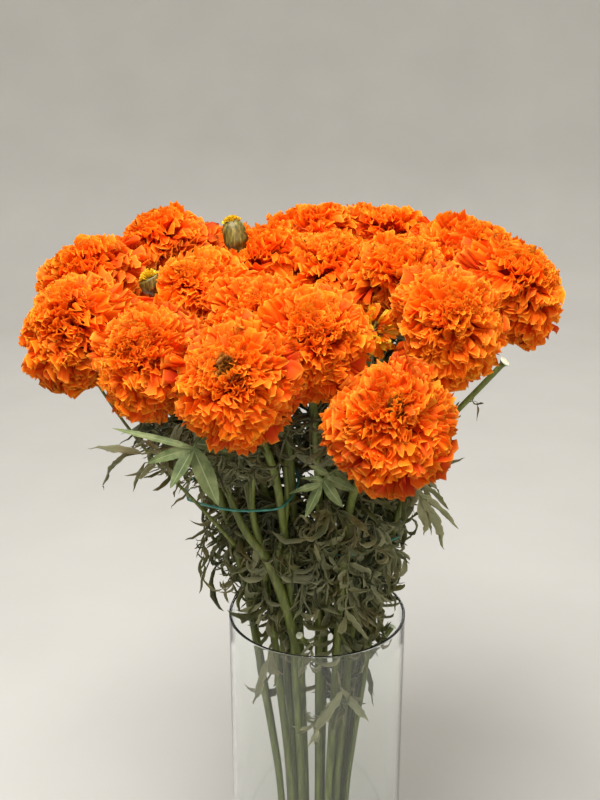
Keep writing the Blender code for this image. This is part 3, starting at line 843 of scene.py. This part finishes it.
def arc(start, bend, tip, steps):
    """Points on the curve that leaves start towards bend and ends at tip."""
    return [start * (1 - t) ** 2 + bend * 2 * t * (1 - t) + tip * t * t
            for t in (step / steps for step in range(steps + 1))]


def nearest_on_stems(point):
    """The point of the stems' centre lines nearest to a point."""
    near = (on_line(point, low, high)
            for line in routes.values() for (low, _), (high, _) in zip(line, line[1:]))
    return min(near, key=lambda place: (place - point).length)


def midrib_path(name, start, bend, tip):
    """The midrib of a CAD leaf from the stems near start, by shares of the leaf's box."""
    return arc(nearest_on_stems(spot(name, *start)), spot(name, *bend), spot(name, *tip), 14)


def leaf_along(path, leaflets, name, fold, tooth, midrib, face, chance, faded=(0.0, 0.0)):
    """A leaf with leaflets along a path: their fold, teeth and fading, and the radius of its midrib in mm."""
    bm = blank("bleach")
    last = len(path) - 1
    add_to(bm, stalk([(point, midrib * MM * (1 - 0.5 * i / last)) for i, point in enumerate(path)], 6))
    for number, (share, *along, length, width, curl) in enumerate(leaflets):
        blade = leaflet_shape(f"{name}_{number}", length, width, chance.uniform(*fold), radians(curl),
                              chance.uniform(-0.5, 0.5), 6, 16, tooth, chance)
        place_leaflet(bm, blade, path[round(share * last)], Vector(along), face, 1.0, chance.uniform(*faded))
    return bm


# Fresh leaves: start, bend and tip of the midrib as shares of the CAD leaf's box, then its leaflets:
# place on the midrib, direction, length and width in mm, and curl in degrees.
FRESH_LEAVES = {
    "fresh_leaf_left": ((0.99, 0.99, 0.49), (0.53, 0.53, 1.32), (0.36, 0.28, 0.95), [
        (1, 0.37, -0.15, -0.92, 33, 11, -25), (0.99, -0.48, -0.35, -0.82, 24, 8, -30),
        (0.97, -0.96, -0.1, -0.2, 27, 6.5, 20), (0.99, -0.96, 0.05, 0.26, 44, 4.8, 12),
        (0.93, 0.8, -0.35, 0.05, 14, 6, 40), (0.9, 0.95, -0.1, -0.25, 18, 6, -30),
        (0.6, -0.7, -0.2, -0.65, 20, 6, -50), (0.58, 0.75, -0.2, -0.6, 18, 6, -50)]),
    "fresh_leaf_right": ((0.98, 0.99, 0.2), (0.62, 0.53, 1.5), (0.42, 0.27, 1.12), [
        (1, -0.4, -0.15, -0.92, 20, 6, -20), (0.98, -0.95, -0.2, -0.3, 19, 5, -20),
        (0.96, -0.98, -0.15, 0.2, 12, 4.5, 30), (0.94, 0.55, -0.2, -0.8, 18, 6.5, -30),
        (0.86, 0.9, -0.15, -0.4, 18, 6, -35), (0.8, -0.75, 0, 0.45, 12, 4.5, 30),
        (0.64, 0.6, -0.2, -0.75, 17, 5.5, -45), (0.6, -0.6, -0.1, -0.7, 16, 5.5, -45)]),
}
for name, (*course, leaflets) in FRESH_LEAVES.items():
    bm = leaf_along(midrib_path(name, *course), leaflets, name, (0.15, 0.4), 0.03, 1.1,
                    Vector((0, -0.75, 0.65)), random.Random(name))
    leaf = add_piece(name + "_blades", bm, fresh)
    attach(leaf, "root")
    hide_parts(name)

# Wilted leaflets: twenty shapes, folded along the midrib, curled and twisted.
chance = random.Random("wilted leaflets")
wilted_shapes = [leaflet_shape(f"wilted_leaflet_{number}", chance.uniform(18, 32), chance.uniform(3.2, 7.0),
                               chance.uniform(0.4, 1.2), chance.choice((-1, 1)) * chance.uniform(0.4, 3.4),
                               chance.uniform(-3.2, 3.2), 2, 8, 0.05, chance) for number in range(20)]
DRY_CREASES = ((110, 1.8), (340, 0.8))


def some_face(chance):
    """Any direction."""
    return Vector([chance.gauss(0, 1) for _ in range(3)])


def wilted_leaf(path, pairs, size, chance, droop=0.5):
    """A wilted feather leaf along a path of points."""
    bm = blank("bleach")
    faded = max(chance.uniform(-0.3, 0.5), 0)
    last = len(path) - 1
    add_to(bm, stalk([(point, (0.95 - 0.55 * i / last) * size * MM) for i, point in enumerate(path)], 5))
    for pair in range(pairs):
        i = round(last * (0.28 + 0.72 * (pair + 0.5) / pairs))
        ahead = (path[i] - path[i - 1]).normalized()
        side = ahead.cross(UP)
        side = side.normalized() if side.length > 0.2 else ahead.orthogonal().normalized()
        side = Matrix.Rotation(chance.uniform(-0.7, 0.7), 3, ahead) @ side
        for sign in (-1, 1):
            along = side * sign * chance.uniform(0.4, 0.9) + ahead * chance.uniform(0.2, 0.7)
            along -= UP * droop * chance.uniform(0.4, 1.6)
            place_leaflet(bm, chance.choice(wilted_shapes), path[i], along, some_face(chance),
                          size * chance.uniform(0.7, 1.1), faded)
    along = path[last] - path[last - 1] - UP * 3 * MM
    place_leaflet(bm, chance.choice(wilted_shapes), path[last], along, some_face(chance), size, faded)
    return bm


# Wilted leaves that stand out from the bunch, in the same terms as the fresh ones.
RIBBON_LEAVES = {
    "wilted_leaf_far_left": ((0.99, 0.99, 0.29), (0.65, 0.5, 1.1), (0.43, 0.3, 0.92), [
        (1, -0.98, 0, 0.22, 31, 6.5, 15), (0.97, -0.97, -0.1, 0.1, 44, 6, 150),
        (0.8, 0.2, -0.1, -0.95, 18, 6, 60), (0.82, -0.7, 0, 0.6, 16, 5, 60),
        (0.62, -0.5, -0.2, -0.8, 20, 6, 70), (0.6, 0.1, -0.2, 0.9, 16, 5, 80)]),
    "wilted_leaf_right": ((0.02, 1, 0.98), (0.24, 0.6, 1.02), (0.4, 0.42, 0.64), [
        (1, 0.54, -0.1, -0.84, 38, 8, 15), (0.97, 0.62, -0.2, -0.76, 30, 7, 25),
        (0.92, 0.76, -0.1, -0.62, 33, 7, 25), (0.82, 0.82, 0, -0.55, 29, 6.5, 30),
        (0.72, 0.92, 0, 0.38, 32, 5.5, 25), (0.95, 0.2, -0.25, -0.95, 30, 7, 30),
        (0.86, 0.36, 0, -0.92, 36, 7, 20), (0.75, 0.95, 0.1, -0.25, 24, 5.5, 45),
        (0.65, 0.1, -0.3, -0.92, 30, 7, 45), (0.6, 0.7, -0.2, -0.7, 32, 6.5, 40)]),
    "hanging_leaf_front": ((0.54, 1, 1), (0.6, 0.35, 0.9), (0.45, 0.1, 0.4), [
        (1, -0.15, -0.2, -0.95, 26, 6.5, 70), (0.95, 0.4, -0.1, -0.9, 24, 6, -60),
        (0.8, -0.7, -0.1, -0.5, 20, 6, 120), (0.75, 0.75, -0.1, -0.5, 22, 6, -100),
        (0.5, -0.6, -0.2, -0.3, 22, 6.5, 140), (0.45, 0.7, -0.2, 0.1, 20, 6, 120)]),
}
for name, (*course, leaflets) in RIBBON_LEAVES.items():
    bm = leaf_along(midrib_path(name, *course), leaflets, name, (0.5, 1.1), 0.04, 1.0,
                    Vector((0, -0.45, 0.9)), random.Random(name), (0.2, 0.65))
    leaf = add_piece(name + "_ribbons", crumpled(bm, *DRY_CREASES), dry)
    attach(leaf, "root")
    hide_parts(name)

# Feathery wilted leaves: the same course, then the number of pairs of leaflets and their size.
WILTED_LEAVES = {
    "hanging_leaf_left": ((0.99, 0.22, 1), (0.46, 0.45, 0.94), (0.42, 0.62, 0.4), 6, 0.7),
    "rear_leaf": ((0.27, 0, 1), (0.43, 0.61, 1.01), (0.67, 0.88, 0.38), 5, 1.1),
}
for name, (*course, pairs, size) in WILTED_LEAVES.items():
    bm = wilted_leaf(midrib_path(name, *course), pairs, size, random.Random(name))
    leaf = add_piece(name + "_blades", crumpled(bm, *DRY_CREASES), dry)
    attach(leaf, "root")
    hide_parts(name)

# The left tie shows, so no loose leaf covers it: its middle, and how far it reaches in each direction.
TIE_SECTORS = 36


def sector(away):
    """Number of the sector that a direction from the tie's middle lies in."""
    return int(atan2(away.y, away.x) % tau / tau * TIE_SECTORS) % TIE_SECTORS


tie = stretched_tie("tie_left")
tie_middle = sum((v.co for v in tie.verts), Vector()) / len(tie.verts)
tie_reach = [0.02] * TIE_SECTORS
for v in tie.verts:
    away = v.co - tie_middle
    tie_reach[sector(away)] = max(tie_reach[sector(away)], away.xy.length)
tie.free()

# The cut ends of the side shoots show as well.
sight_lines = [(end, end + Vector((0, -60, 24)) * MM) for end in cut_ends]


def clear_of_tie(co):
    """False in front of the left tie, or just above it on the way to the eye."""
    away = co - tie_middle
    above = away.z - away.x * LEFT_TIE_DROOP
    if co.x > 0 or away.y > 0 or not -4 * MM < above < 16 * MM:
        return True
    return away.xy.length <= tie_reach[sector(away)] + 1 * MM


# The bunch's outline across and along, in mm: at the vase's mouth, and how much more 150 mm above it.
LEFT_EDGE, RIGHT_EDGE, FRONT_EDGE = (72, 28), (55, 42), (56, 40)
HIGHEST_LEAF = 0.432                # below the flower heads, in metres


def allowed(co):
    """True where a loose leaf may be: it hides nothing, and stays off the glass and in the bunch."""
    if any((on_line(co, a, b) - co).length < 4 * MM for a, b in sight_lines) or not clear_of_tie(co):
        return False
    flat = hypot(co.x, co.y)
    if co.z < vase_height + 4 * MM:
        beside = vase_radius + 2 * MM < flat < 78 * MM and co.z > vase_height - 24 * MM and co.x < 0
        return flat < inner_radius - 2 * MM or beside
    rise = min(max((co.z - vase_height) / (150 * MM), 0), 1)
    edges = (LEFT_EDGE if co.x < 0 else RIGHT_EDGE, FRONT_EDGE)
    wide, deep = ((foot + more * rise) * MM for foot, more in edges)
    return (co.x / wide) ** 2 + (co.y / deep) ** 2 < 1 and co.z < HIGHEST_LEAF


def add_where(whole, leaf, fits):
    """Adds a leaf if all of it fits, and says whether it did."""
    inside = all(fits(v.co) for v in leaf.verts)
    if inside:
        add_to(whole, leaf)
    else:
        leaf.free()
    return inside


def sprung(start, tip, rise):
    """A midrib that rises a little, in mm, between its stem and its tip."""
    return arc(start, start.lerp(tip, 0.5) + UP * rise * MM, tip, 8)


def from_stem(name, place, bend, tip):
    """A short midrib from the stem nearest a place in a CAD box, by steps in mm to its bend and tip."""
    start = nearest_on_stems(spot(name, *place))
    return arc(start, start + Vector(bend) * MM, start + Vector(tip) * MM, 6)


# Loose wilted leaves outside the mass: a crumpled clump where the far left leaf leaves the bunch, dark
# leaves behind the spent flower, curls beside the mouth of the vase, a scrap on the bare stem, and two
# pale leaves of ribbons that hang inside the glass.
chance = random.Random("clump")
bm = blank("bleach")
for number in range(90):                # the clump
    share = chance.uniform(0, 1)
    tip = spot("wilted_leaf_far_left", 0.36 + 0.75 * share, chance.uniform(0.2, 1.3),
               chance.uniform(-0.1, 1.45) - 1.1 * share + chance.uniform(0, 0.5) * share)
    start = nearest_on_stems(tip + Vector((30, 10, -12)) * MM)
    add_where(bm, wilted_leaf(sprung(start, tip, 6), 4, chance.uniform(0.5, 0.8), chance, 0.5), clear_of_tie)
for number in range(50):                # behind the spent flower
    tip = spot("spent_flower", *(chance.uniform(*ends) for ends in ((-0.6, 2.3), (0.5, 1.4), (0.05, 0.72))))
    start = nearest_on_stems(tip - UP * 12 * MM)
    add_to(bm, wilted_leaf(sprung(start, tip, 5), 3, chance.uniform(0.6, 0.9), chance, 0.2))
for number in range(34):                # curls
    tip = spot("hanging_leaf_left", *(chance.uniform(*ends) for ends in ((0, 1.4), (-0.6, 1.3), (0, 1.2))))
    start = nearest_on_stems(tip + Vector((16, 0, 14)) * MM)
    add_where(bm, wilted_leaf(sprung(start, tip, 6), 3, chance.uniform(0.5, 0.75), chance, 0.4), allowed)
scrap = from_stem("bare_stem", (0.866, 0.5, 0.905), (4, 0, 3), (9, -1, 2))
add_to(bm, wilted_leaf(scrap, 1, 0.4, chance, 0.0))
HANGING_RIBBONS = {
    "ribbons_in_vase": ((0.62, 0.25, 0.89), (2, -8, -2), (3, -12, -8), (0.5, 0.6), [
        (1, -0.4, -0.1, -0.9, 52, 7.5, 70), (0.9, 0.55, -0.1, -0.83, 36, 6, 20)]),
    "ribbons_by_wall": ((0.2, 0.3, 0.95), (-3, -7, 3), (-5, -11, -6), (0.3, 0.6), [
        (1, -0.22, -0.1, -0.95, 46, 6.5, 40), (0.9, 0.1, -0.2, -0.95, 30, 5.5, 60),
        (0.6, 0.3, -0.2, -0.9, 36, 5.5, 50)]),
}
for name, (*course, faded, ribbons) in HANGING_RIBBONS.items():
    add_to(bm, leaf_along(from_stem("vase", *course), ribbons, name, (0.5, 0.9), 0.03, 0.9,
                          Vector((0, -1, 0.2)), chance, faded))
clump = add_piece("wilted_clump", crumpled(bm, *DRY_CREASES), dry)
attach(clump, "root")

# The mass of wilted leaves that grow from the stems: how many, between which heights and how long in
# metres, and how far they reach out.
FOLIAGE = {
    "wilted_foliage_upper": (198, 0.320, 0.420, (0.028, 0.060), 1.0),
    "wilted_foliage_lower": (170, 0.245, 0.330, (0.028, 0.052), 1.0),
    "wilted_foliage_in_vase": (16, 0.17, 0.262, (0.014, 0.026), 0.5),
}
chance = random.Random("foliage")
for name, (count, low, high, length, lean) in FOLIAGE.items():
    whole = blank("bleach")
    made = tries = 0
    while made < count and tries < count * 9:
        tries += 1
        line = routes[chance.choice(stem_names)]
        z = chance.uniform(low, high)
        for (a, _), (b, _) in zip(line, line[1:]):
            if a.z <= z <= b.z:
                start = a.lerp(b, (z - a.z) / (b.z - a.z))
        compass = atan2(start.y, start.x) + chance.gauss(0, 0.9)
        out = Vector((cos(compass), sin(compass), 0))
        long = chance.uniform(*length)
        bend = start + out * long * 0.5 * lean + UP * long * chance.uniform(0.0, 0.45)
        tip = bend + out * long * chance.uniform(0.1, 0.4) * lean - UP * long * chance.uniform(0.1, 0.8)
        pairs, size = chance.randint(3, 5), chance.uniform(0.75, 1.15)
        made += add_where(whole, wilted_leaf(arc(start, bend, tip, 8), pairs, size, chance, 0.6), allowed)
    leaves = add_piece(name, crumpled(whole, *DRY_CREASES), dry)
    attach(leaves, "root")
